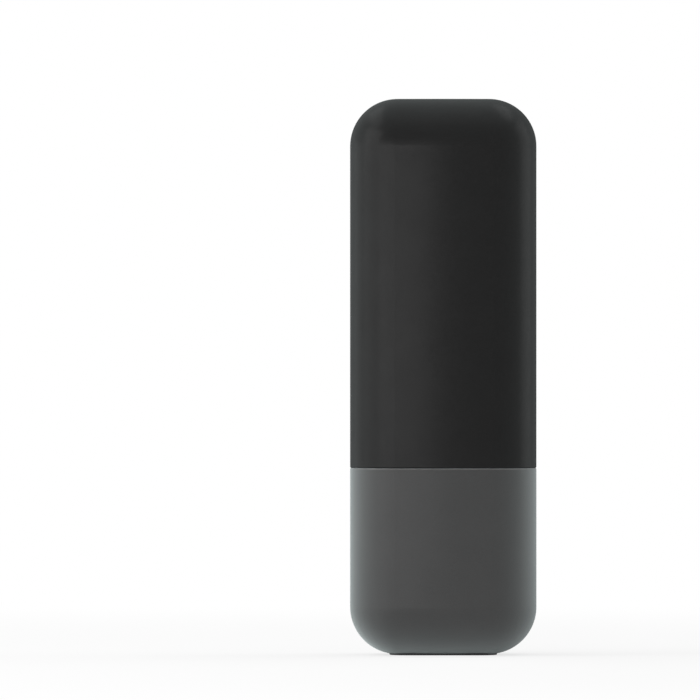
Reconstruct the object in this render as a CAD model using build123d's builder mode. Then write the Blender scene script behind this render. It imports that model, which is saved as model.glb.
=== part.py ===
from build123d import *

import os
from math import sqrt

# Razor travel case: a cover that pulls straight up off a base, which holds the razor by its handle.
# Millimetres. +Z runs up the case, -Y is the front, and the origin is under the middle of the foot.

# Outer form
width = 55.3  # side to side
depth = 38.0  # front to back
height = 165.0  # foot to top, closed
parting_height = 55.5  # where the cover meets the base
face_radius = 120.0  # crown of the front and back faces
end_radius = 14.0  # rounding of the top and bottom ends
corner_extra = 1.0  # how much rounder the upright corners are than the ends

# Shells
shell_wall = 2.0
base_floor = 3.6
rim_round = 0.4  # outer edges where cover and base meet
mouth_lead = 0.6  # lead-in inside the cover's mouth

# Fits
seat_gap = 0.05  # pieces fixed to each other
slide_gap = 0.3  # cover over collar
loose_gap = 0.3  # holder inside the collar

# Collar, which stands out of the base and guides the cover
collar_wall = 1.6  # from the base shell's inside to the collar's inside
collar_height = 14.0  # above the parting line
collar_seat_depth = 20.0  # below the parting line
collar_lead = 0.6

# Magnets, one bar in each flank of the collar and of the carrier ring
magnet_thickness = 1.5  # side to side
magnet_length = 10.0  # front to back
magnet_height = 4.0
magnet_wall = 0.7  # plastic round a magnet
magnet_break = 0.25  # broken edges of a magnet

# Carrier ring inside the cover
ring_gap = 0.5  # above the closed collar
ring_height = 7.0

# Friction ring round the collar
groove_height = 2.0
groove_depth = 0.7
groove_rise = 6.0  # above the parting line
friction_gap = 0.1  # between the friction ring and the cover
friction_round = 0.35

# Razor holder
deck_thickness = 2.0
deck_gap = 0.5  # under the collar's magnet pads
socket_radius = 8.8
socket_wall = 1.4
socket_offset = 4.0  # behind the middle, because a razor's head leans forward
socket_floor = 4.5
post_radius = 3.0
web_thickness = 1.2
web_height = 12.0
drain_length = 13.0
drain_width = 3.0
drain_place = 17.0  # to each side of the middle

# Soft liner of the socket's mouth, and the stop under the handle's end
grip_bore = 6.75  # radius that takes the razor's handle
grip_length = 30.0
grip_flange_radius = 11.0
grip_flange_thickness = 1.2
grip_flange_round = 0.5
flute_count = 4
flute_width = 1.6
flute_depth = 0.8
stop_thickness = 3.0
stop_dish_radius = 5.0
stop_dish_depth = 0.8

# Screws, from under the base into the holder's posts
screw_spacing = 20.0
screw_radius = 1.2
screw_length = 8.5
screw_head_radius = 2.4
screw_head_height = 1.3
screw_slot_width = 0.6
screw_slot_depth = 0.5
screw_hole_gap = 0.3
screw_tip_gap = 0.8

# Foot
foot_length = 32.0
foot_width = 15.0
foot_corner = 6.0
foot_thickness = 1.2
foot_proud = 0.3
foot_gap = 0.1
foot_break = 0.2

# Pad in the top of the cover
pad_inset = 8.0
pad_thickness = 4.0
pad_round = 1.2

# Places that follow from these sizes
corner_radius = end_radius + corner_extra
base_bottom = foot_proud
floor_top = base_bottom + base_floor
recess_top = foot_thickness
collar_bottom = parting_height - collar_seat_depth
collar_top = parting_height + collar_height
collar_inset = shell_wall + slide_gap
inner_inset = shell_wall + collar_wall
magnet_room = magnet_thickness + 2 * seat_gap
magnet_pad_length = magnet_length + 2 * seat_gap + 2 * magnet_wall
magnet_pad_height = magnet_height + seat_gap + magnet_wall
magnet_place = width / 2 - collar_inset - magnet_wall - magnet_room / 2
magnet_pad_inner = magnet_place - magnet_room / 2 - magnet_wall
ring_bottom = collar_top + ring_gap
deck_top = collar_top - magnet_pad_height - deck_gap
socket_bottom = floor_top + socket_floor
groove_bottom = parting_height + groove_rise
groove_inset = collar_inset + groove_depth
screw_head_top = recess_top + seat_gap + screw_head_height


def case_outline(inset):
    """The case's outline from above, drawn in by inset on every side."""
    side = width / 2 - inset
    front = depth / 2 - inset
    crown = face_radius - inset
    side_end = front - crown + sqrt(crown**2 - side**2)
    with BuildSketch() as outline:
        with BuildLine():
            ThreePointArc((-side, -side_end), (0, -front), (side, -side_end))
            Line((side, -side_end), (side, side_end))
            ThreePointArc((side, side_end), (0, front), (-side, side_end))
            Line((-side, side_end), (-side, -side_end))
        make_face()
        fillet(outline.vertices(), corner_radius - inset)
    return outline.sketch


def round_ended(inset, open_end, closed_end):
    """A block of the case's outline, drawn in by inset, from its open end to its rounded one."""
    with BuildPart() as block:
        with BuildSketch(Plane.XY.offset(open_end)):
            add(case_outline(inset))
        extrude(amount=closed_end - open_end)
        end = block.faces().sort_by(Axis.Z)[-1 if closed_end > open_end else 0]
        fillet(end.edges(), end_radius - inset)
    return block.part


def magnet_pads(inset):
    """The two flank pads that hold the magnets, from above, ending at the outline at inset."""
    pad_outer = width / 2 - inset
    with BuildSketch() as pads:
        for side in (-1, 1):
            with Locations((side * (pad_outer + magnet_pad_inner) / 2, 0)):
                Rectangle(pad_outer - magnet_pad_inner, magnet_pad_length)
        add(case_outline(inset), mode=Mode.INTERSECT)
    return pads.sketch


def magnet_pockets():
    """The two magnet pockets from above."""
    with BuildSketch() as pockets:
        for side in (-1, 1):
            with Locations((side * magnet_place, 0)):
                Rectangle(magnet_room, magnet_length + 2 * seat_gap)
    return pockets.sketch


def foot_outline(gap):
    """The foot's outline from above, let out by gap."""
    with BuildSketch() as outline:
        RectangleRounded(foot_length + 2 * gap, foot_width + 2 * gap, foot_corner + gap)
    return outline.sketch


def write(piece, label):
    """Names a finished piece and writes it under that name."""
    piece.part.label = label
    export_step(piece.part, f"parts/{label}.step")


os.makedirs("parts", exist_ok=True)

# Cover shell: a deep cap, open below
with BuildPart() as cover_shell:
    add(round_ended(0, parting_height, height))
    mouth = cover_shell.faces().sort_by(Axis.Z)[0]
    fillet(mouth.edges(), rim_round)
    add(round_ended(shell_wall, parting_height, height - shell_wall), mode=Mode.SUBTRACT)
    mouth = cover_shell.faces().sort_by(Axis.Z)[0]
    chamfer(mouth.inner_wires()[0].edges(), mouth_lead)
write(cover_shell, "cover_shell")

# Carrier ring: holds the cover's magnets just above the closed collar
with BuildPart() as cover_ring:
    with BuildSketch(Plane.XY.offset(ring_bottom)):
        add(case_outline(shell_wall + seat_gap))
        add(case_outline(inner_inset), mode=Mode.SUBTRACT)
        add(magnet_pads(shell_wall + seat_gap))
    extrude(amount=ring_height)
    with BuildSketch(Plane.XY.offset(ring_bottom)):
        add(magnet_pockets())
    extrude(amount=magnet_height + seat_gap, mode=Mode.SUBTRACT)
write(cover_ring, "cover_ring")

# Pad: keeps the razor's head off the inside of the cover's top
with BuildPart() as head_pad:
    with BuildSketch(Plane.XY.offset(height - shell_wall - pad_thickness)):
        add(case_outline(pad_inset))
    extrude(amount=pad_thickness)
    fillet(head_pad.faces().sort_by(Axis.Z)[0].edges(), pad_round)
    lining = round_ended(shell_wall + seat_gap, parting_height, height - shell_wall - seat_gap)
    add(lining, mode=Mode.INTERSECT)
write(head_pad, "head_pad")

# Base shell: a cup, open above, with a ledge inside for the collar and a recess below for the foot
with BuildPart() as base_shell:
    add(round_ended(0, parting_height, base_bottom))
    fillet(base_shell.faces().sort_by(Axis.Z)[-1].edges(), rim_round)
    add(round_ended(inner_inset, parting_height, floor_top), mode=Mode.SUBTRACT)
    with BuildSketch(Plane.XY.offset(collar_bottom)):
        add(case_outline(shell_wall))
    extrude(amount=collar_seat_depth, mode=Mode.SUBTRACT)
    with BuildSketch():
        add(foot_outline(foot_gap))
    extrude(amount=recess_top, mode=Mode.SUBTRACT)
    with Locations(Plane(origin=(0, 0, recess_top), z_dir=(0, 0, -1))):
        with GridLocations(screw_spacing, 0, 2, 1):
            CounterBoreHole(
                radius=screw_radius + screw_hole_gap,
                counter_bore_radius=screw_head_radius + screw_hole_gap,
                counter_bore_depth=screw_head_top - recess_top,
                depth=floor_top - recess_top,
            )
write(base_shell, "base_shell")

# Collar: sits on the base's ledge and stands out of it, with a groove and two magnet pads
with BuildPart() as base_collar:
    with BuildSketch(Plane.XY.offset(collar_bottom)):
        add(case_outline(shell_wall + seat_gap))
    extrude(amount=collar_seat_depth)
    with BuildSketch(Plane.XY.offset(parting_height)):
        add(case_outline(collar_inset))
    extrude(amount=collar_height)
    chamfer(base_collar.faces().sort_by(Axis.Z)[-1].edges(), collar_lead)
    with BuildSketch(Plane.XY.offset(collar_bottom)):
        add(case_outline(inner_inset))
    extrude(amount=collar_top - collar_bottom, mode=Mode.SUBTRACT)
    with BuildSketch(Plane.XY.offset(collar_top - magnet_pad_height)):
        add(magnet_pads(collar_inset + collar_lead))
    extrude(amount=magnet_pad_height)
    with BuildSketch(Plane.XY.offset(collar_top - magnet_height - seat_gap)):
        add(magnet_pockets())
    extrude(amount=magnet_height + seat_gap, mode=Mode.SUBTRACT)
    with BuildSketch(Plane.XY.offset(groove_bottom)):
        add(case_outline(0))
        add(case_outline(groove_inset), mode=Mode.SUBTRACT)
    extrude(amount=groove_height, mode=Mode.SUBTRACT)
write(base_collar, "base_collar")

# Friction ring: a soft band in the collar's groove
with BuildPart() as friction_ring:
    with BuildSketch(Plane.XY.offset(groove_bottom + seat_gap)):
        add(case_outline(shell_wall + friction_gap))
        add(case_outline(groove_inset - seat_gap), mode=Mode.SUBTRACT)
    extrude(amount=groove_height - 2 * seat_gap)
    for band_face in friction_ring.faces().filter_by(Plane.XY):
        fillet(band_face.outer_wire().edges(), friction_round)
write(friction_ring, "friction_ring")

# Magnets: a bar in each flank of the collar, and one above it in the carrier ring
magnet_levels = {
    "base_magnet": collar_top - magnet_height,
    "cover_magnet": ring_bottom,
}
for magnet_name, magnet_bottom in magnet_levels.items():
    for side_name, side in (("left", -1), ("right", 1)):
        with BuildPart() as magnet:
            with BuildSketch(Plane.XY.offset(magnet_bottom)):
                with Locations((side * magnet_place, 0)):
                    Rectangle(magnet_thickness, magnet_length)
            extrude(amount=magnet_height)
            chamfer(magnet.edges().filter_by(Axis.Z), magnet_break)
        write(magnet, f"{magnet_name}_{side_name}")

# Razor holder: a deck inside the collar, the handle's socket, and two posts that screw to the base
with BuildPart() as razor_holder:
    with BuildSketch(Plane.XY.offset(deck_top - deck_thickness)):
        add(case_outline(inner_inset + loose_gap))
    extrude(amount=deck_thickness)
    with BuildSketch(Plane.XY.offset(floor_top)):
        with Locations((0, socket_offset)):
            Circle(socket_radius + socket_wall)
        with GridLocations(screw_spacing, 0, 2, 1):
            Circle(post_radius)
    extrude(amount=deck_top - deck_thickness - floor_top)
    with BuildSketch(Plane.XY.offset(deck_top - deck_thickness - web_height)):
        Rectangle(width, web_thickness)
        Rectangle(web_thickness, depth)
    extrude(amount=web_height)
    with BuildSketch(Plane.XY.offset(socket_bottom)):
        with Locations((0, socket_offset)):
            Circle(socket_radius)
    extrude(amount=deck_top - socket_bottom, mode=Mode.SUBTRACT)
    with BuildSketch(Plane.XY.offset(deck_top - deck_thickness)):
        for side in (-1, 1):
            with Locations((side * drain_place, 0)):
                SlotOverall(drain_length, drain_width, rotation=90)
    extrude(amount=deck_thickness, mode=Mode.SUBTRACT)
    with BuildSketch(Plane.XY.offset(floor_top)):
        with GridLocations(screw_spacing, 0, 2, 1):
            Circle(screw_radius + seat_gap)
    extrude(amount=screw_length + screw_tip_gap + screw_head_top - floor_top, mode=Mode.SUBTRACT)
    cup = round_ended(inner_inset + loose_gap, collar_top, floor_top)
    add(cup, mode=Mode.INTERSECT)
write(razor_holder, "razor_holder")

# Grip: a soft sleeve in the socket's mouth, with flutes down its bore that let water drain
with BuildPart() as handle_grip:
    with BuildSketch(Plane.XY.offset(deck_top - grip_length)):
        with Locations((0, socket_offset)):
            Circle(socket_radius - seat_gap)
    extrude(amount=grip_length)
    with BuildSketch(Plane.XY.offset(deck_top)):
        with Locations((0, socket_offset)):
            Circle(grip_flange_radius)
    extrude(amount=grip_flange_thickness)
    fillet(handle_grip.faces().sort_by(Axis.Z)[-1].edges(), grip_flange_round)
    with BuildSketch(Plane.XY.offset(deck_top - grip_length)):
        with Locations((0, socket_offset)):
            Circle(grip_bore)
            with PolarLocations(grip_bore, flute_count):
                Rectangle(2 * flute_depth, flute_width)
    extrude(amount=grip_length + grip_flange_thickness, mode=Mode.SUBTRACT)
write(handle_grip, "handle_grip")

# Stop: a soft dished disc at the bottom of the socket
with BuildPart() as handle_stop:
    with BuildSketch(Plane.XY.offset(socket_bottom)):
        with Locations((0, socket_offset)):
            Circle(socket_radius - seat_gap)
    extrude(amount=stop_thickness)
    with BuildSketch(Plane.XY.offset(socket_bottom + stop_thickness - stop_dish_depth)):
        with Locations((0, socket_offset)):
            Circle(stop_dish_radius)
    extrude(amount=stop_dish_depth, mode=Mode.SUBTRACT)
write(handle_stop, "handle_stop")

# Screws: two, hidden by the foot
with BuildPart() as holder_screws:
    with BuildSketch(Plane.XY.offset(recess_top + seat_gap)):
        with GridLocations(screw_spacing, 0, 2, 1):
            Circle(screw_head_radius)
    extrude(amount=screw_head_height)
    with BuildSketch(Plane.XY.offset(screw_head_top)):
        with GridLocations(screw_spacing, 0, 2, 1):
            Circle(screw_radius)
    extrude(amount=screw_length)
    with BuildSketch(Plane.XY.offset(recess_top + seat_gap)):
        with GridLocations(screw_spacing, 0, 2, 1):
            Rectangle(2 * screw_radius, screw_slot_width)
            Rectangle(screw_slot_width, 2 * screw_radius)
    extrude(amount=screw_slot_depth, mode=Mode.SUBTRACT)
write(holder_screws, "holder_screws")

# Foot: a soft flat pad let into the base's underside, which the case stands on
with BuildPart() as foot_pad:
    with BuildSketch():
        add(foot_outline(0))
    extrude(amount=foot_thickness)
    chamfer(foot_pad.faces().sort_by(Axis.Z)[0].edges(), foot_break)
write(foot_pad, "foot_pad")
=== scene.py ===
"""Razor travel case: a matte black cover that pulls straight up off a satin grey base.

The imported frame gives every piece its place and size. This script gives the hard pieces their finishes,
models the soft ones, and sets up a plain pale studio seen straight on.
"""

import sys
import logging
import math
from dataclasses import dataclass
from enum import Enum
from typing import Any

import bmesh
import bpy
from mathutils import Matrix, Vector


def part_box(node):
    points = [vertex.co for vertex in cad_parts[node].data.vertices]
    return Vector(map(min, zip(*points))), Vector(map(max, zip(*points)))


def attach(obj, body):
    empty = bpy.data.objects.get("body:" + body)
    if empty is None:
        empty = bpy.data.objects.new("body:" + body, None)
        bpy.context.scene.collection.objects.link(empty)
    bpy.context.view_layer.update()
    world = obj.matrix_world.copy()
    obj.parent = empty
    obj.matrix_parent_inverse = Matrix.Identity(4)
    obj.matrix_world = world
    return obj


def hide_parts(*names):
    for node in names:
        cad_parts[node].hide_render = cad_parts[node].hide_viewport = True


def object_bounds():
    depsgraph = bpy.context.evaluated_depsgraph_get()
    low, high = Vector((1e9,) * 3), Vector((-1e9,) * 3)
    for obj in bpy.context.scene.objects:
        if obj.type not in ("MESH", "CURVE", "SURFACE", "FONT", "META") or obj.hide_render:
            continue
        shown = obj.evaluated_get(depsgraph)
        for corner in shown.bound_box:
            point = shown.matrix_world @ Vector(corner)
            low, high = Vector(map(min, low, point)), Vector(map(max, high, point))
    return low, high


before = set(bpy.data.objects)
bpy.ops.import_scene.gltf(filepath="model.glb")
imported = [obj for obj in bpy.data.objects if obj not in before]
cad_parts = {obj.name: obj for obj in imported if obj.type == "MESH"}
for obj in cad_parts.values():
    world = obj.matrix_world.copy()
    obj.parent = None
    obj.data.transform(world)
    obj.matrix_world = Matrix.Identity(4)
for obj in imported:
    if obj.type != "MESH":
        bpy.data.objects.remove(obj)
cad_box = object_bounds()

log = logging.getLogger("razor_case")

Colour = tuple[float, float, float]
Tint = Colour | bpy.types.NodeSocket
Span = tuple[float, float]
Ring = list[Vector]

MM = 0.001
QUARTER = math.pi / 2
SAME_POINT = 0.0001 * MM
SHARP_EDGE = math.radians(38)
NOISE_MEAN = 0.5
WHITE: Colour = (1.0, 1.0, 1.0)


class Body(Enum):
    """The two bodies that the cover's slide joins."""

    BASE = "base"
    COVER = "cover"


class Slot(Enum):
    """The record's material slot for the soft pieces, which the script does not use."""

    SOFT_RUBBER = "soft_rubber"


# Shader expressions


@dataclass(frozen=True)
class Value:
    """One number that changes over a surface, which Python's operators turn into Math nodes."""

    nodes: "Nodes"
    socket: bpy.types.NodeSocket

    def math(self, operation: str, *terms: "Value | float") -> "Value":
        """Applies one Math operation.

        Args:
            operation: the Math node's operation.
            terms: its inputs in order.

        Returns:
            The result.
        """
        made = self.nodes.node("ShaderNodeMath", {"operation": operation}, dict(enumerate(terms)))
        return Value(self.nodes, made.outputs[0])

    def __add__(self, other: "Value | float") -> "Value":
        """Sum."""
        return self.math("ADD", self, other)

    def __radd__(self, other: "Value | float") -> "Value":
        """Sum, reflected."""
        return self.math("ADD", other, self)

    def __sub__(self, other: "Value | float") -> "Value":
        """Difference."""
        return self.math("SUBTRACT", self, other)

    def __rsub__(self, other: "Value | float") -> "Value":
        """Difference, reflected."""
        return self.math("SUBTRACT", other, self)

    def __mul__(self, other: "Value | float") -> "Value":
        """Product."""
        return self.math("MULTIPLY", self, other)

    def __rmul__(self, other: "Value | float") -> "Value":
        """Product, reflected."""
        return self.math("MULTIPLY", other, self)

    def __abs__(self) -> "Value":
        """Size without its sign."""
        return self.math("ABSOLUTE", self)

    def rise(self, low: float, high: float) -> "Value":
        """Eases from 0 to 1.

        Args:
            low: where the result is 0.
            high: where the result is 1.

        Returns:
            The eased value, held at 0 and 1 outside the span.
        """
        settings = {"interpolation_type": "SMOOTHSTEP"}
        made = self.nodes.node("ShaderNodeMapRange", settings, {0: self, 1: low, 2: high})
        return Value(self.nodes, made.outputs[0])


@dataclass(frozen=True)
class Noise:
    """A pattern of soft noise.

    The size is the width of one blotch in millimetres, and the detail is how many finer layers it holds.
    Where there is a span, the noise is eased to rise from 0 to 1 over it.
    """

    size: float
    detail: float
    span: Span | None = None


class Nodes:
    """Fills the node tree of one material or world."""

    def __init__(self, tree: bpy.types.NodeTree) -> None:
        """Starts with an empty tree.

        Args:
            tree: the tree to fill.
        """
        self.tree = tree
        self.tree.nodes.clear()

    def node(self, kind: str, settings: dict[str, Any], inputs: dict[Any, Any]) -> bpy.types.Node:
        """Adds one node.

        Args:
            kind: the node's type.
            settings: its own settings, which are set first.
            inputs: values, or what is linked, for its sockets by name or number.

        Returns:
            The node.
        """
        made = self.tree.nodes.new(kind)
        for name, setting in settings.items():
            setattr(made, name, setting)
        for key, value in inputs.items():
            source = value.socket if isinstance(value, Value) else value
            if isinstance(source, bpy.types.NodeSocket):
                self.tree.links.new(source, made.inputs[key])
            else:
                made.inputs[key].default_value = source
        return made

    def place(self) -> bpy.types.NodeSocket:
        """Where a point lies on the case, in millimetres."""
        where = self.node("ShaderNodeTexCoord", {}, {}).outputs["Object"]
        scaled = self.node("ShaderNodeVectorMath", {"operation": "SCALE"}, {0: where, "Scale": 1 / MM})
        return scaled.outputs[0]

    def axes(self, where: bpy.types.NodeSocket) -> tuple[Value, Value, Value]:
        """Splits a vector.

        Args:
            where: the vector.

        Returns:
            Its x, y and z.
        """
        parts = self.node("ShaderNodeSeparateXYZ", {}, {0: where}).outputs
        return Value(self, parts[0]), Value(self, parts[1]), Value(self, parts[2])

    def stretched(self, where: bpy.types.NodeSocket, factors: Colour) -> bpy.types.NodeSocket:
        """Multiplies a vector part by part.

        Args:
            where: the vector.
            factors: one factor for each of its parts.

        Returns:
            The product.
        """
        made = self.node("ShaderNodeVectorMath", {"operation": "MULTIPLY"}, {0: where, 1: factors})
        return made.outputs[0]

    def noise(self, where: bpy.types.NodeSocket, pattern: Noise) -> Value:
        """Soft noise from 0 to 1.

        Args:
            where: the point, in millimetres.
            pattern: the noise's pattern.

        Returns:
            The noise.
        """
        inputs = {"Vector": where, "Scale": 1 / pattern.size, "Detail": pattern.detail}
        plain = Value(self, self.node("ShaderNodeTexNoise", {}, inputs).outputs[0])
        return plain.rise(*pattern.span) if pattern.span else plain

    def pits(self, where: bpy.types.NodeSocket, size: float) -> Value:
        """Rounded cells, 0 in their middles.

        Args:
            where: the point, in millimetres.
            size: the width of one cell, in millimetres.

        Returns:
            The distance from the nearest middle, in cell widths.
        """
        settings = {"feature": "SMOOTH_F1"}
        made = self.node("ShaderNodeTexVoronoi", settings, {"Vector": where, "Scale": 1 / size})
        return Value(self, made.outputs["Distance"])

    def facing(self) -> Value:
        """0 where the surface is seen face on, 1 where it is seen edge on."""
        return Value(self, self.node("ShaderNodeLayerWeight", {}, {"Blend": 0.5}).outputs["Facing"])

    def tinted(self, mask: Value, first: Tint, second: Tint) -> bpy.types.NodeSocket:
        """Mixes two colours.

        Args:
            mask: 0 for the first colour, 1 for the second.
            first: a colour, or what is linked for it.
            second: the other colour, likewise.

        Returns:
            The mixed colour.
        """
        ends = [(*end, 1.0) if isinstance(end, tuple) else end for end in (first, second)]
        inputs = {0: mask, 6: ends[0], 7: ends[1]}
        return self.node("ShaderNodeMix", {"data_type": "RGBA"}, inputs).outputs[2]

    def bump(self, height: Value, depth: float) -> bpy.types.NodeSocket:
        """Turns a height into a normal.

        Args:
            height: the height, from 0 to 1.
            depth: what 1 stands for, in millimetres.

        Returns:
            The bumped normal.
        """
        made = self.node("ShaderNodeBump", {}, {"Strength": 1.0, "Distance": depth * MM, "Height": height})
        return made.outputs["Normal"]


def shade(colour: Colour, factor: float) -> Colour:
    """Makes a colour lighter or darker.

    Args:
        colour: the colour.
        factor: above 1 for lighter.

    Returns:
        The new colour.
    """
    return colour[0] * factor, colour[1] * factor, colour[2] * factor


# Finishes


@dataclass(frozen=True)
class Finish:
    """What every finish shares: a name, a colour and a plain Principled surface."""

    name: str
    colour: Colour
    roughness: float

    def surface(self, nodes: Nodes, where: bpy.types.NodeSocket) -> dict[str, Any]:
        """What this finish sets on the Principled shader.

        Args:
            nodes: the material's nodes.
            where: the point, in millimetres.

        Returns:
            Values and links by socket name.
        """
        raise NotImplementedError

    def material(self) -> bpy.types.Material:
        """Makes the finish's material."""
        made = bpy.data.materials.new(self.name)
        made.use_nodes = True
        nodes = Nodes(made.node_tree)
        skin = nodes.node("ShaderNodeBsdfPrincipled", {}, self.surface(nodes, nodes.place()))
        nodes.node("ShaderNodeOutputMaterial", {}, {"Surface": skin.outputs[0]})
        return made


@dataclass(frozen=True)
class Lacquer:
    """A thin satin lacquer over moulded plastic.

    It is uneven with the plastic's marks and grain, fuller along a rubbed rim, and thins out where the
    surface turns away.
    """

    weight: float = 0.16
    roughness: float = 0.27
    least: float = 0.45
    on_smudges: float = 0.24
    on_speckle: float = 0.86
    on_rim: float = 0.5
    thinning: float = 0.75
    thinning_span: Span = (0.35, 0.90)

    def surface(self, nodes: Nodes, smudge: Value, speckle: Value, wear_and_highlight: Value) -> dict[str, Any]:
        """What the lacquer sets on the Principled shader.

        Args:
            nodes: the material's nodes.
            smudge: the plastic's handling marks.
            speckle: its grain's unevenness.
            wear_and_highlight: how far it is rubbed.

        Returns:
            Values and links by socket name.
        """
        kept = 1.0 - self.thinning * nodes.facing().rise(*self.thinning_span)
        tooth = self.least + self.on_smudges * smudge + self.on_speckle * speckle
        weight = self.weight * (tooth + self.on_rim * wear_and_highlight) * kept
        return {"Coat Weight": weight, "Coat Roughness": self.roughness}


@dataclass(frozen=True)
class RubbedRimHighlight:
    """A rim at one height that is rubbed and painted lighter as a painted highlight, more in some places
    than in others.

    The height and the reach to either side are in millimetres.
    """

    height: float = 0.0
    rub_and_highlight: float = 0.0
    reach: Span = (0.225, 0.45)
    # How many times lighter the rim is painted: a painted highlight along the rim, partly real rubbing.
    light: float = 3.0
    polish: float = 0.08
    least: float = 0.65
    patches: Noise = Noise(2.6, 3.0, (0.36, 0.66))

    def wear_and_highlight(self, nodes: Nodes, where: bpy.types.NodeSocket) -> Value:
        """How far each place is rubbed and painted lighter as a highlight, from 0 to 1.

        Args:
            nodes: the material's nodes.
            where: the point, in millimetres.

        Returns:
            The mask of rubbing and painted highlight.
        """
        height = nodes.axes(where)[2]
        near = 1.0 - abs(height - self.height).rise(*self.reach)
        return self.rub_and_highlight * near * (self.least + (1 - self.least) * nodes.noise(where, self.patches))


@dataclass(frozen=True)
class MouldedPlastic(Finish):
    """Moulded plastic with a spark-eroded grain, swirls, handling marks, rub streaks and a rubbed rim
    painted lighter as a highlight.

    The grain is in millimetres, and its pits and speckle are sized by it. A shade says how much a pattern
    moves the colour from its darkest to its lightest, and a gloss how much it moves the roughness.
    """

    specular: float = 0.35
    lacquer: Lacquer | None = None
    sheen: float = 0.0
    sheen_roughness: float = 0.6
    sheen_tint: Colour = (0.89, 1.0, 1.0)
    darkest: float = 0.70
    lightest: float = 1.32
    grain: float = 0.26
    grain_detail: float = 2.0
    grain_depth: float = 0.020
    pit_size: float = 1.4
    pit_share: float = 0.4
    speckle_size: float = 0.6
    speckle_detail: float = 1.0
    speckle_span: Span = (0.30, 0.70)
    speckle_shade: float = 0.45
    speckle_gloss: float = 0.05
    smudge: Noise = Noise(9.0, 4.0)
    smudge_shade: float = 0.25
    smudge_gloss: float = 0.10
    swirl: Noise = Noise(34.0, 3.0)
    swirl_shade: float = 0.30
    rim: RubbedRimHighlight = RubbedRimHighlight()
    rub: float = 0.0
    rub_stretch: Colour = (3.4, 3.4, 0.09)
    rub_streaks: Noise = Noise(1.0, 3.0, (0.56, 0.74))
    rub_gloss: float = 0.5

    def grained(self, nodes: Nodes, where: bpy.types.NodeSocket) -> bpy.types.NodeSocket:
        """The grain's relief: soft noise with pits in it.

        Args:
            nodes: the material's nodes.
            where: the point, in millimetres.

        Returns:
            The bumped normal.
        """
        noise = nodes.noise(where, Noise(self.grain, self.grain_detail))
        pits = nodes.pits(where, self.pit_size * self.grain)
        return nodes.bump((1 - self.pit_share) * noise + self.pit_share * pits, self.grain_depth)

    def surface(self, nodes: Nodes, where: bpy.types.NodeSocket) -> dict[str, Any]:
        """Grain in the normal, marks in the roughness, swirls, speckle and the rim's painted highlight in
        the colour.

        Args:
            nodes: the material's nodes.
            where: the point, in millimetres.

        Returns:
            Values and links by socket name.
        """
        swirl, smudge = nodes.noise(where, self.swirl), nodes.noise(where, self.smudge)
        fine = Noise(self.speckle_size * self.grain, self.speckle_detail, self.speckle_span)
        speckle = nodes.noise(where, fine)
        streaks = self.rub * nodes.noise(nodes.stretched(where, self.rub_stretch), self.rub_streaks)
        wear_and_highlight = self.rim.wear_and_highlight(nodes, where)
        marks = self.swirl_shade * swirl + self.smudge_shade * smudge + self.speckle_shade * speckle
        dark, light = shade(self.colour, self.darkest), shade(self.colour, self.lightest)
        plain = nodes.tinted(marks + streaks, dark, light)
        uneven = self.smudge_gloss * (smudge - NOISE_MEAN) + self.speckle_gloss * (speckle - NOISE_MEAN)
        surface = {
            # The rim is painted lighter here: a painted highlight along the parting line, with some real
            # rubbing.
            "Base Color": nodes.tinted(wear_and_highlight, plain, shade(self.colour, self.rim.light)),
            "Roughness": self.roughness + uneven - self.rim.polish * wear_and_highlight - self.rub_gloss * streaks,
            "Specular IOR Level": self.specular,
            "Sheen Weight": self.sheen,
            "Sheen Roughness": self.sheen_roughness,
            "Sheen Tint": (*self.sheen_tint, 1.0),
            "Normal": self.grained(nodes, where),
        }
        if self.lacquer:
            surface.update(self.lacquer.surface(nodes, smudge, speckle, wear_and_highlight))
        return surface


@dataclass(frozen=True)
class SoftRubber(Finish):
    """Moulded soft rubber: matte, with a fine tooth and a faint dry bloom."""

    specular: float = 0.30
    sheen: float = 0.06
    sheen_roughness: float = 0.5
    darkest: float = 0.80
    lightest: float = 1.45
    tooth: Noise = Noise(0.18, 2.0)
    tooth_depth: float = 0.006
    tooth_gloss: float = 0.06
    bloom: Noise = Noise(6.0, 5.0, (0.36, 0.70))
    bloom_share: float = 0.7
    bloom_gloss: float = 0.10

    def surface(self, nodes: Nodes, where: bpy.types.NodeSocket) -> dict[str, Any]:
        """Tooth in the normal, bloom in the colour and the roughness.

        Args:
            nodes: the material's nodes.
            where: the point, in millimetres.

        Returns:
            Values and links by socket name.
        """
        bloom, tooth = nodes.noise(where, self.bloom), nodes.noise(where, self.tooth)
        lift = self.bloom_share * bloom + (1 - self.bloom_share) * tooth
        dark, light = shade(self.colour, self.darkest), shade(self.colour, self.lightest)
        uneven = self.bloom_gloss * bloom + self.tooth_gloss * (tooth - NOISE_MEAN)
        return {
            "Base Color": nodes.tinted(lift, dark, light),
            "Roughness": self.roughness + uneven,
            "Specular IOR Level": self.specular,
            "Sheen Weight": self.sheen,
            "Sheen Roughness": self.sheen_roughness,
            "Normal": nodes.bump(tooth, self.tooth_depth),
        }


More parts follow.
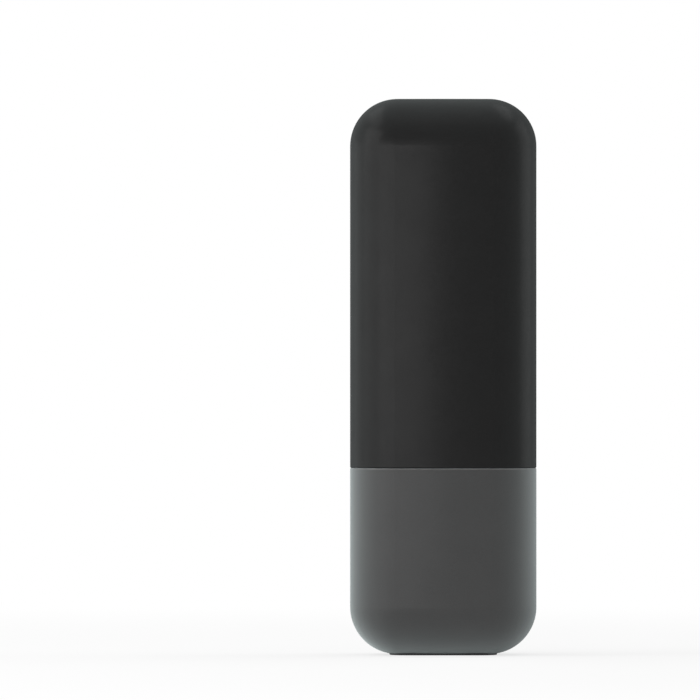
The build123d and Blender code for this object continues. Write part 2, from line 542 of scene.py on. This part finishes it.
@dataclass(frozen=True)
class PlatedMetal(Finish):
    """Plated metal: drawn lines along one way, and dull spots where the plate has aged."""

    drawn: Colour = (0.25, 0.25, 9.0)
    lines: Noise = Noise(1.0, 3.0)
    line_depth: float = 0.002
    line_shade: float = 0.15
    line_gloss: float = 0.12
    aged: Colour = (0.30, 0.29, 0.27)
    spots: Noise = Noise(0.9, 4.0, (0.56, 0.78))
    spot_shade: float = 0.8
    spot_gloss: float = 0.22

    def surface(self, nodes: Nodes, where: bpy.types.NodeSocket) -> dict[str, Any]:
        """Drawn lines in the normal and the roughness, aged spots in the colour.

        Args:
            nodes: the material's nodes.
            where: the point, in millimetres.

        Returns:
            Values and links by socket name.
        """
        lines = nodes.noise(nodes.stretched(where, self.drawn), self.lines)
        spots = nodes.noise(where, self.spots)
        dull = self.spot_shade * spots + self.line_shade * lines
        return {
            "Base Color": nodes.tinted(dull, self.colour, self.aged),
            "Metallic": 1.0,
            "Roughness": self.roughness + self.line_gloss * lines + self.spot_gloss * spots,
            "Normal": nodes.bump(lines, self.line_depth),
        }


# Outlines and lofts


@dataclass(frozen=True)
class Outline:
    """A closed outline from above: its points, and the way outwards at each."""

    points: tuple[Vector, ...]
    outwards: tuple[Vector, ...]

    def ring(self, inset: float, height: float) -> Ring:
        """The outline drawn in on every side, at a height.

        Args:
            inset: how far in.
            height: how far up.

        Returns:
            The ring's points.
        """
        pairs = zip(self.points, self.outwards)
        return [Vector((p.x - inset * n.x, p.y - inset * n.y, height)) for p, n in pairs]


def shares(steps: int) -> list[float]:
    """Even steps from 0 to 1.

    Args:
        steps: how many steps.

    Returns:
        The shares, both ends included.
    """
    return [step / steps for step in range(steps + 1)]


def arc(centre: Vector, radius: float, start: float, end: float, steps: int) -> list[tuple[Vector, Vector]]:
    """Points along an arc.

    Args:
        centre: the arc's centre.
        radius: its radius.
        start: the angle where it starts.
        end: the angle where it ends.
        steps: how many spans it has.

    Returns:
        Each point with the way outwards there.
    """
    found = []
    for share in shares(steps):
        angle = start + (end - start) * share
        outward = Vector((math.cos(angle), math.sin(angle), 0.0))
        found.append((centre + radius * outward, outward))
    return found


def rounded(radius: float, steps: int) -> list[tuple[float, float]]:
    """A quarter round.

    Args:
        radius: its radius.
        steps: how many spans it has.

    Returns:
        How far each point lies across and along the way in which the round starts.
    """
    turns = [QUARTER * share for share in shares(steps)]
    return [(radius * (1 - math.cos(turn)), radius * math.sin(turn)) for turn in turns]


def joined(arcs: list[list[tuple[Vector, Vector]]]) -> Outline:
    """Joins arcs into one outline, leaving out points that two arcs share.

    Args:
        arcs: the arcs in order.

    Returns:
        The outline.
    """
    kept: list[tuple[Vector, Vector]] = []
    for pair in (pair for one in arcs for pair in one):
        if not kept or (pair[0] - kept[-1][0]).length > SAME_POINT:
            kept.append(pair)
    if (kept[0][0] - kept[-1][0]).length < SAME_POINT:
        kept.pop()
    return Outline(tuple(p for p, _ in kept), tuple(n for _, n in kept))


@dataclass(frozen=True)
class CaseForm:
    """The case's outline from above: crowned front and back, straight flanks, round corners."""

    half_width: float
    half_depth: float
    face_radius: float = 120 * MM
    corner_radius: float = 15 * MM
    end_radius: float = 14 * MM
    corner_steps: int = 22
    crown_steps: int = 12

    def outline(self) -> Outline:
        """The outermost outline."""
        across = self.half_width - self.corner_radius
        reach = self.face_radius - self.corner_radius
        crown = self.face_radius - self.half_depth
        along = math.sqrt(reach**2 - across**2) - crown
        lean = math.asin(across / reach)
        arcs = []
        for turn, way in ((0.0, 1), (math.pi, -1)):
            near = Vector((way * across, way * along, 0.0))
            far = Vector((-way * across, way * along, 0.0))
            face = Vector((0.0, -way * crown, 0.0))
            first, last = turn + QUARTER - lean, turn + QUARTER + lean
            arcs.append(arc(near, self.corner_radius, turn, first, self.corner_steps))
            arcs.append(arc(face, self.face_radius, first, last, self.crown_steps))
            arcs.append(arc(far, self.corner_radius, last, turn + math.pi, self.corner_steps))
        return joined(arcs)


def round_cornered(half_x: float, half_y: float, corner: float, steps: int = 14) -> Outline:
    """A rectangle with round corners, round the origin.

    Args:
        half_x: half its width.
        half_y: half its depth.
        corner: its corner radius.
        steps: how many spans each corner has.

    Returns:
        The outline.
    """
    arcs = []
    for number, (way_x, way_y) in enumerate(((1, 1), (-1, 1), (-1, -1), (1, -1))):
        centre = Vector((way_x * (half_x - corner), way_y * (half_y - corner), 0.0))
        start = number * QUARTER
        arcs.append(arc(centre, corner, start, start + QUARTER, steps))
    return joined(arcs)


def circle(centre: Vector, radius: float, steps: int = 240) -> Outline:
    """A full circle.

    Args:
        centre: its centre.
        radius: its radius.
        steps: how many spans it has.

    Returns:
        The outline.
    """
    return joined([arc(centre, radius, 0.0, 2 * math.pi, steps)])


def shrunk(ring: Ring, share: float, rise: float = 0.0) -> Ring:
    """A ring drawn towards its own middle.

    Args:
        ring: the ring.
        share: how much of its size is kept.
        rise: how far it moves up.

    Returns:
        The smaller ring.
    """
    middle = sum(ring, Vector()) / len(ring)
    return [middle + share * (point - middle) + Vector((0.0, 0.0, rise)) for point in ring]


def lofted(name: str, rings: list[Ring], hollow: bool) -> bpy.types.Object:
    """Skins rings of equal count.

    Args:
        name: the new object's name.
        rings: the rings in order round the skin.
        hollow: True joins the last ring to the first, and False closes both ends on their middles.

    Returns:
        The object, smooth but for its sharp edges.
    """
    count = len(rings[0])
    mesh = bpy.data.meshes.new(name)
    skin = bmesh.new()
    rows = [[skin.verts.new(point) for point in ring] for ring in rings]
    pairs = list(zip(rows, rows[1:]))
    if hollow:
        pairs.append((rows[-1], rows[0]))
    for lower, upper in pairs:
        for i in range(count):
            j = (i + 1) % count
            skin.faces.new((lower[i], lower[j], upper[j], upper[i]))
    if not hollow:
        for row in (rows[0], rows[-1]):
            middle = skin.verts.new(sum((v.co for v in row), Vector()) / count)
            for i in range(count):
                skin.faces.new((row[i], row[(i + 1) % count], middle))
    bmesh.ops.recalc_face_normals(skin, faces=skin.faces)
    skin.to_mesh(mesh)
    skin.free()
    mesh.shade_smooth()
    mesh.set_sharp_from_angle(angle=SHARP_EDGE)
    made = bpy.data.objects.new(name, mesh)
    bpy.context.scene.collection.objects.link(made)
    return made


def dress(node: str, material: bpy.types.Material) -> None:
    """Gives a CAD node its finish.

    Args:
        node: the node's name.
        material: the finish's material.
    """
    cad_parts[node].material_slots[0].material = material
    log.info("%s: %s", node, material.name)


def stand_in(piece: bpy.types.Object, node: str, body: Body, material: bpy.types.Material) -> None:
    """Puts a modelled soft piece in the place of its CAD solid.

    Args:
        piece: the modelled piece.
        node: the CAD node that it stands for.
        body: the body that it rides on.
        material: its finish's material.
    """
    piece.data.materials.append(material)
    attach(piece, body.value)
    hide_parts(node)
    log.info("%s: %s, for %s", piece.name, material.name, node)


# The case's finishes


@dataclass(frozen=True)
class Finishes:
    """Every finish on the case."""

    soft_touch: bpy.types.Material
    satin_grey: bpy.types.Material
    charcoal: bpy.types.Material
    holder: bpy.types.Material
    rubber: bpy.types.Material
    nickel: bpy.types.Material
    zinc: bpy.types.Material


def make_finishes(parting: float) -> Finishes:
    """Makes the case's finishes.

    Args:
        parting: the height of the parting line, in millimetres.

    Returns:
        The finishes.
    """
    black, grey = (0.0064, 0.0060, 0.0060), (0.0272, 0.0243, 0.0243)
    satin = {"specular": 0.0, "lacquer": Lacquer()}
    cover = MouldedPlastic("soft_touch_black", black, 0.55, **satin, sheen=0.10)
    # The base's rim at the parting line is painted lighter: a painted highlight, with some real rubbing.
    rim = RubbedRimHighlight(parting, rub_and_highlight=1.0)
    base = MouldedPlastic("satin_grey", grey, 0.55, **satin, sheen=0.62, rim=rim)
    inner = MouldedPlastic("charcoal", (0.030, 0.031, 0.032), 0.42, rub=0.16)
    holder = MouldedPlastic("holder_charcoal", (0.040, 0.041, 0.043), 0.52, grain=0.4)
    rubber = SoftRubber("soft_rubber_black", (0.017, 0.017, 0.018), 0.68)
    nickel = PlatedMetal("nickel_plate", (0.62, 0.61, 0.58), 0.22)
    zinc = PlatedMetal("zinc_plate", (0.52, 0.53, 0.55), 0.30, drawn=(2.0, 2.0, 2.0))
    kinds = (cover, base, inner, holder, rubber, nickel, zinc)
    return Finishes(*(kind.material() for kind in kinds))


# Sub-assemblies


@dataclass(frozen=True)
class Cover:
    """The cover: its shell, the carrier ring and magnets inside its mouth, and the pad in its top."""

    form: CaseForm
    finishes: Finishes
    lining_inset: float = 2.05 * MM
    pad_edge: float = 1.7 * MM
    pad_edge_steps: int = 8
    pad_crown: float = 0.5 * MM
    pad_crown_shares: tuple[float, ...] = (0.85, 0.65, 0.4, 0.15)
    pad_back_steps: int = 6
    pad_back_shares: tuple[float, ...] = (0.6, 0.2)
    pad_fill: float = 0.9

    def head_pad(self) -> bpy.types.Object:
        """The soft pad: crowned below, round at its edge, and fitted to the cover's ceiling above."""
        low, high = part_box("head_pad")
        outline = self.form.outline()
        inset = self.form.half_width - high.x
        brow = low.z + self.pad_crown
        below = []
        for drop, closed in rounded(self.pad_edge, self.pad_edge_steps):
            below.append(outline.ring(inset + closed, brow + self.pad_edge - drop))
        last = below[-1]
        for share in self.pad_crown_shares:
            below.append(shrunk(last, share, -self.pad_crown * (1 - share**2)))
        ceiling = self.form.end_radius - self.lining_inset
        above = []
        for share in shares(self.pad_back_steps):
            away = (self.form.end_radius - inset) * (1 - share)
            height = high.z - ceiling + math.sqrt(ceiling**2 - away**2)
            above.append(outline.ring(self.form.end_radius - away, height))
        above += [shrunk(above[-1], share) for share in self.pad_back_shares]
        return lofted("head_pad_soft", below[::-1] + above, hollow=False)

    def build(self) -> None:
        """Dresses the cover's hard pieces and models its pad."""
        dress("cover_shell", self.finishes.soft_touch)
        dress("cover_ring", self.finishes.charcoal)
        dress("cover_magnet_left", self.finishes.nickel)
        dress("cover_magnet_right", self.finishes.nickel)
        pad = self.head_pad()
        stand_in(pad, "head_pad", Body.COVER, self.finishes.rubber)


@dataclass(frozen=True)
class Base:
    """The base: its shell, the collar with its friction ring and magnets, and the pad it stands on."""

    form: CaseForm
    finishes: Finishes
    ring_depth: float = 0.85 * MM
    ring_steps: int = 16
    lip_depth: float = 0.16 * MM
    shoulder_depth: float = 0.425 * MM
    shoulder_power: int = 12
    foot_corner: float = 6 * MM
    foot_round: float = 0.3 * MM
    foot_steps: int = 6
    foot_fill: float = 1.0

    def friction_ring(self) -> bpy.types.Object:
        """The soft ring in the collar's groove, with two lips and a shallow valley between them."""
        low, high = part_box("friction_ring")
        crest = self.form.half_width - high.x
        root = crest + self.ring_depth
        middle, half = (low.z + high.z) / 2, (high.z - low.z) / 2
        outline = self.form.outline()
        rings = [outline.ring(root, low.z)]
        for share in shares(self.ring_steps):
            along = 2 * share - 1
            valley = self.lip_depth * (1 + math.cos(2 * math.pi * along)) / 2 * (1 - along**2)
            shoulder = self.shoulder_depth * abs(along) ** self.shoulder_power
            rings.append(outline.ring(crest + valley + shoulder, middle + half * along))
        rings.append(outline.ring(root, high.z))
        return lofted("friction_ring_soft", rings, hollow=True)

    def foot_pad(self) -> bpy.types.Object:
        """The soft pad under the base, flat where it rests and round at its edge."""
        low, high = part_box("foot_pad")
        outline = round_cornered(high.x, high.y, self.foot_corner)
        rings = []
        for rise, out in rounded(self.foot_round, self.foot_steps):
            rings.append(outline.ring(self.foot_round - out, low.z + rise))
        rings.append(outline.ring(0.0, high.z))
        return lofted("foot_pad_soft", rings, hollow=False)

    def build(self) -> None:
        """Dresses the base's hard pieces and models its soft ones."""
        dress("base_shell", self.finishes.satin_grey)
        dress("base_collar", self.finishes.charcoal)
        dress("base_magnet_left", self.finishes.nickel)
        dress("base_magnet_right", self.finishes.nickel)
        stand_in(self.friction_ring(), "friction_ring", Body.BASE, self.finishes.rubber)
        foot = self.foot_pad()
        stand_in(foot, "foot_pad", Body.BASE, self.finishes.rubber)


@dataclass(frozen=True)
class Holder:
    """The razor's holder: the deck with its socket, the soft grip and stop in it, and the screws."""

    finishes: Finishes
    bore: float = 6.75 * MM
    sleeve: float = 8.75 * MM
    flange_thickness: float = 1.2 * MM
    flange_round: float = 0.5 * MM
    lead: float = 0.5 * MM
    round_steps: int = 6
    flute_count: int = 4
    flute_width: float = 1.6 * MM
    flute_depth: float = 0.8 * MM
    rib_pitch: float = 1.5 * MM
    rib_depth: float = 0.14 * MM
    rib_steps: int = 4
    dish: float = 5.0 * MM
    dish_depth: float = 0.8 * MM
    dish_flank: float = 1.5 * MM
    dish_steps: int = 8
    stop_round: float = 0.3 * MM
    stop_round_steps: int = 4
    stop_sides: int = 96

    def fluted(self, centre: Vector, radius: float, height: float) -> Ring:
        """A ring of the bore, let out where a flute runs.

        Args:
            centre: the bore's centre.
            radius: the ring's radius between the flutes.
            height: how far up.

        Returns:
            The ring's points.
        """
        ring = circle(centre, radius).ring(0.0, height)
        axis = Vector((centre.x, centre.y, height))
        let_out = max(radius, self.bore + self.flute_depth) / radius
        span = 2 * math.pi / self.flute_count
        for number, point in enumerate(ring):
            angle = 2 * math.pi * number / len(ring)
            off = (angle + span / 2) % span - span / 2
            if abs(off) * self.bore < self.flute_width / 2:
                ring[number] = axis + let_out * (point - axis)
        return ring

    def grip(self) -> bpy.types.Object:
        """The soft sleeve: a round flange, a ribbed bore and flutes down it that let water drain."""
        low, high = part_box("handle_grip")
        centre = Vector(((low.x + high.x) / 2, (low.y + high.y) / 2, 0.0))
        flange = (high.x - low.x) / 2
        seat = high.z - self.flange_thickness
        outer = circle(centre, flange)
        rings = [outer.ring(flange - self.sleeve, low.z), outer.ring(flange - self.sleeve, seat)]
        rings.append(outer.ring(0.0, seat))
        for inset, rise in rounded(self.flange_round, self.round_steps):
            rings.append(outer.ring(inset, high.z - self.flange_round + rise))
        for drop, closed in rounded(self.lead, self.round_steps):
            rings.append(self.fluted(centre, self.bore + self.lead - closed, high.z - drop))
        top = high.z - self.lead - self.rib_pitch
        count = int((top - low.z) / self.rib_pitch)
        for number in range(self.rib_steps * count):
            along = number / self.rib_steps
            swell = self.rib_depth * (1 - math.cos(2 * math.pi * along)) / 2
            rings.append(self.fluted(centre, self.bore + swell, top - self.rib_pitch * along))
        rings.append(self.fluted(centre, self.bore, low.z))
        return lofted("handle_grip_soft", rings, hollow=True)

    def stop(self) -> bpy.types.Object:
        """The soft dished disc under the handle's end."""
        low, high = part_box("handle_stop")
        centre = Vector(((low.x + high.x) / 2, (low.y + high.y) / 2, 0.0))
        radius = (high.x - low.x) / 2
        outer = circle(centre, radius, self.stop_sides)
        rings = [outer.ring(0.0, low.z)]
        for inset, rise in rounded(self.stop_round, self.stop_round_steps):
            rings.append(outer.ring(inset, high.z - self.stop_round + rise))
        for share in shares(self.dish_steps):
            sink = self.dish_depth * (1 - math.cos(math.pi * share)) / 2
            rings.append(outer.ring(radius - self.dish + self.dish_flank * share, high.z - sink))
        return lofted("handle_stop_soft", rings, hollow=False)

    def build(self) -> None:
        """Dresses the holder's hard pieces and models its soft ones."""
        dress("razor_holder", self.finishes.holder)
        dress("holder_screws", self.finishes.zinc)
        stand_in(self.grip(), "handle_grip", Body.BASE, self.finishes.rubber)
        stand_in(self.stop(), "handle_stop", Body.BASE, self.finishes.rubber)


# The studio


@dataclass(frozen=True)
class Softbox:
    """A soft lamp that faces the case.

    Its azimuth is in degrees, to the right of the camera's side, and its lengths are in metres.
    """

    name: str
    azimuth: float
    height: float
    distance: float
    width: float
    tall: float
    radiance: float

    def hang(self, aim: Vector) -> None:
        """Hangs the lamp.

        Args:
            aim: the point that it faces.
        """
        lamp = bpy.data.lights.new(self.name, "AREA")
        lamp.shape = "RECTANGLE"
        lamp.size, lamp.size_y = self.width, self.tall
        lamp.energy = self.radiance * math.pi * self.width * self.tall
        made = bpy.data.objects.new(self.name, lamp)
        bpy.context.scene.collection.objects.link(made)
        angle = math.radians(self.azimuth)
        made.location = (self.distance * math.sin(angle), -self.distance * math.cos(angle), self.height)
        made.rotation_mode = "QUATERNION"
        made.rotation_quaternion = (aim - made.location).to_track_quat("-Z", "Y")
        log.info("%s: %.2f by %.2f m", self.name, self.width, self.tall)


@dataclass(frozen=True)
class PhotoView:
    """The photograph's view: straight on, with the case's edges where it shows them, in pixels."""

    frame_px: float = 700.0
    left_px: float = 350.1
    right_px: float = 536.25
    top_px: float = 99.3
    bottom_px: float = 654.55
    distance: float = 3.0
    sensor: float = 36.0

    def shoot(self, low: Vector, high: Vector) -> None:
        """Sets the camera.

        Args:
            low: the case's lowest corner.
            high: its highest corner.
        """
        across = (high.x - low.x) / (self.right_px - self.left_px)
        upright = (high.z - low.z) / (self.bottom_px - self.top_px)
        scale = (across + upright) / 2
        middle = self.frame_px / 2
        side = (low.x + high.x) / 2 - ((self.left_px + self.right_px) / 2 - middle) * scale
        height = (low.z + high.z) / 2 + ((self.top_px + self.bottom_px) / 2 - middle) * scale
        data = bpy.data.cameras.new("camera")
        data.sensor_width = self.sensor
        data.lens = self.sensor * self.distance / (self.frame_px * scale)
        camera = bpy.data.objects.new("camera", data)
        camera.location = (side, -self.distance, height)
        camera.rotation_euler = (QUARTER, 0.0, 0.0)
        bpy.context.scene.collection.objects.link(camera)
        bpy.context.scene.camera = camera
        log.info("camera: %.0f mm lens", data.lens)


@dataclass(frozen=True)
class Studio:
    """A plain pale floor, soft lamps and a white surround.

    The glow is how much of the floor near the case is plain white, and the rest is paper in its shadow.
    """

    floor_radius: float = 30.0
    floor_sides: int = 96
    floor_drop: float = 0.02 * MM
    floor_glow: float = 0.72
    paper: Span = (0.86, 0.90)
    fibre: Noise = Noise(0.8, 3.0)
    shadow_near: float = 0.15
    shadow_far: float = 0.60
    surround: float = 0.42
    lamps: tuple[Softbox, ...] = (
        Softbox("key", -27.0, 0.115, 0.95, 0.84, 0.25, 5.1),
        Softbox("left", -72.0, 0.33, 0.95, 0.78, 0.80, 2.9),
        Softbox("left_high", -108.0, 1.03, 0.74, 1.24, 0.42, 1.9),
        Softbox("back_left", -114.0, 0.11, 0.95, 0.60, 0.26, 1.4),
        Softbox("right", 104.0, 0.38, 1.00, 0.66, 0.90, 1.6),
        Softbox("right_high", 122.0, 1.12, 0.60, 0.94, 0.42, 1.9),
        Softbox("top", 10.0, 1.60, 0.30, 1.20, 1.20, 0.4),
    )

    def seen(self, nodes: Nodes) -> Value:
        """1 for rays from the camera, off gloss or through glass, which show the white background.

        Args:
            nodes: the tree's nodes.

        Returns:
            The mask.
        """
        path = nodes.node("ShaderNodeLightPath", {}, {}).outputs
        rays = [Value(nodes, path[f"Is {kind} Ray"]) for kind in ("Camera", "Glossy", "Transmission")]
        either = rays[0].math("MAXIMUM", rays[0], rays[1])
        return either.math("MAXIMUM", either, rays[2])

    def world(self) -> None:
        """A white surround that lights the case softly."""
        made = bpy.data.worlds.new("surround")
        made.use_nodes = True
        nodes = Nodes(made.node_tree)
        colour = (*WHITE, 1.0)
        soft = nodes.node("ShaderNodeBackground", {}, {"Color": colour, "Strength": self.surround})
        white = nodes.node("ShaderNodeBackground", {}, {"Color": colour, "Strength": 1.0})
        inputs = {0: self.seen(nodes), 1: soft.outputs[0], 2: white.outputs[0]}
        both = nodes.node("ShaderNodeMixShader", {}, inputs)
        nodes.node("ShaderNodeOutputWorld", {}, {"Surface": both.outputs[0]})
        bpy.context.scene.world = made

    def floor_material(self) -> bpy.types.Material:
        """Near white paper: it keeps the case's shadow near it, and is plain white further off."""
        made = bpy.data.materials.new("floor_paper")
        made.use_nodes = True
        nodes = Nodes(made.node_tree)
        where = nodes.place()
        length = nodes.node("ShaderNodeVectorMath", {"operation": "LENGTH"}, {0: where}).outputs["Value"]
        far = Value(nodes, length).rise(self.shadow_near / MM, self.shadow_far / MM)
        dark, light = (shade(WHITE, level) for level in self.paper)
        colour = nodes.tinted(nodes.noise(where, self.fibre), dark, light)
        paper = nodes.node("ShaderNodeBsdfDiffuse", {}, {"Color": colour})
        white = nodes.node("ShaderNodeEmission", {}, {"Color": (*WHITE, 1.0), "Strength": 1.0})
        mask = self.seen(nodes) * (self.floor_glow + (1 - self.floor_glow) * far)
        inputs = {0: mask, 1: paper.outputs[0], 2: white.outputs[0]}
        both = nodes.node("ShaderNodeMixShader", {}, inputs)
        nodes.node("ShaderNodeOutputMaterial", {}, {"Surface": both.outputs[0]})
        return made

    def floor(self) -> None:
        """A wide round floor just under the case."""
        rim = circle(Vector(), self.floor_radius, self.floor_sides)
        mesh = bpy.data.meshes.new("floor")
        sheet = bmesh.new()
        sheet.faces.new([sheet.verts.new(point) for point in rim.ring(0.0, -self.floor_drop)])
        sheet.to_mesh(mesh)
        sheet.free()
        made = bpy.data.objects.new("floor", mesh)
        bpy.context.scene.collection.objects.link(made)
        mesh.materials.append(self.floor_material())
        log.info("floor: %.0f m across", 2 * self.floor_radius)

    def build(self, low: Vector, high: Vector) -> None:
        """Sets up the studio round the case.

        Args:
            low: the case's lowest corner.
            high: its highest corner.
        """
        bpy.context.scene.view_settings.view_transform = "Standard"
        self.world()
        self.floor()
        for lamp in self.lamps:
            lamp.hang((low + high) / 2)
        PhotoView().shoot(low, high)


def main() -> None:
    """Builds the case's sub-assemblies in order, then the studio round them."""
    logging.basicConfig(level=logging.INFO, format="%(name)s: %(message)s", stream=sys.stdout)
    low, high = cad_box
    form = CaseForm(high.x, high.y)
    finishes = make_finishes(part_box("cover_shell")[0].z / MM)
    Cover(form, finishes).build()
    Base(form, finishes).build()
    Holder(finishes).build()
    Studio().build(low, high)


if __name__ == "__main__":
    main()
